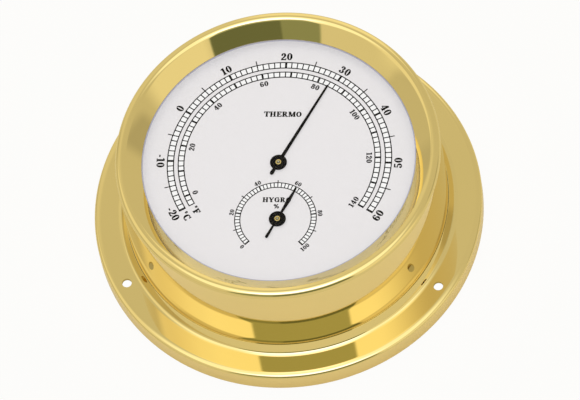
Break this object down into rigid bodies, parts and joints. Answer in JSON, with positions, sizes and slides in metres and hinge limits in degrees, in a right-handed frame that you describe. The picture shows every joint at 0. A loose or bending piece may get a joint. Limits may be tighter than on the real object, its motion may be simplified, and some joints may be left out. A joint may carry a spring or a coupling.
{
  "type": "ship's-case dial thermometer and hygrometer",
  "caption": "Round brass wall instrument with a drum case on a screw-down flange, a glazed dial and pointers for temperature and relative humidity.",
  "frame": {"origin": "centre of the flange's back face", "axes": "+Z out through the dial, +Y to the top of the dial, +X to the reader's right"},
  "size_m": [0.15, 0.15, 0.0501],
  "materials": {
    "polished_brass": "mirror polished, lacquered",
    "plain_brass": "fine turned",
    "steel": "bright",
    "black_enamel": "gloss black",
    "dial_paint": "satin pale grey with printed scales",
    "spacer_plastic": "matt grey",
    "rubber": "matt",
    "clear_glass": "clear",
    "bimetal": "dull strip",
    "hygro_strip": "coated strip",
    "gauze": "fine woven dust gauze"
  },
  "bodies": {
    "case": {"flange_ring": "polished_brass", "case_drum": "polished_brass", "back_cover": "polished_brass", "vent_gauze": "gauze", "cover_screw_1": "polished_brass", "cover_screw_2": "polished_brass", "cover_screw_3": "polished_brass", "cover_screw_4": "polished_brass", "front_glass": "clear_glass", "glass_gasket": "rubber", "dial_spacer": "spacer_plastic", "dial_plate": "dial_paint", "chassis_ring": "plain_brass", "case_lug_1": "plain_brass", "chassis_screw_1": "steel", "case_lug_2": "plain_brass", "chassis_screw_2": "steel", "case_lug_3": "plain_brass", "chassis_screw_3": "steel", "thermo_pillar_1": "plain_brass", "thermo_bridge_screw_1": "steel", "thermo_pillar_2": "plain_brass", "thermo_bridge_screw_2": "steel", "thermo_bridge": "plain_brass", "thermo_front_bush": "plain_brass", "thermo_rear_bush": "plain_brass", "hygro_pillar_1": "plain_brass", "hygro_bridge_screw_1": "steel", "hygro_pillar_2": "plain_brass", "hygro_bridge_screw_2": "steel", "hygro_bridge": "plain_brass", "hygro_front_bush": "plain_brass", "hygro_rear_bush": "plain_brass"},
    "thermo_adjuster": {"thermo_lever": "plain_brass", "thermo_stud": "steel", "thermo_spiral": "bimetal"},
    "thermo_pointer_set": {"thermo_arbor": "steel", "thermo_collet": "plain_brass", "thermo_pointer": "black_enamel", "thermo_pointer_pipe": "polished_brass"},
    "hygro_adjuster": {"hygro_lever": "plain_brass", "hygro_stud": "steel", "hygro_spiral": "hygro_strip"},
    "hygro_pointer_set": {"hygro_arbor": "steel", "hygro_collet": "plain_brass", "hygro_pointer": "black_enamel", "hygro_pointer_pipe": "polished_brass"}
  },
  "joints": [
    {"name": "thermo_adjust", "type": "hinge", "parent": "case", "child": "thermo_adjuster", "pos_m": [-0.0003, 0, 0.031], "axis": [0, 0, -1], "range_deg": [-10, 10]},
    {"name": "thermo_reading", "type": "hinge", "parent": "thermo_adjuster", "child": "thermo_pointer_set", "pos_m": [-0.0003, 0, 0.031], "axis": [0, 0, -1], "range_deg": [-146.4, 93.6], "stiffness_Nm_per_rad": 0.00005},
    {"name": "hygro_adjust", "type": "hinge", "parent": "case", "child": "hygro_adjuster", "pos_m": [0.0008, -0.0245, 0.031], "axis": [0, 0, -1], "range_deg": [-10, 10]},
    {"name": "hygro_reading", "type": "hinge", "parent": "hygro_adjuster", "child": "hygro_pointer_set", "pos_m": [0.0008, -0.0245, 0.031], "axis": [0, 0, -1], "range_deg": [-157.9, 107.1], "stiffness_Nm_per_rad": 0.00005}
  ]
}
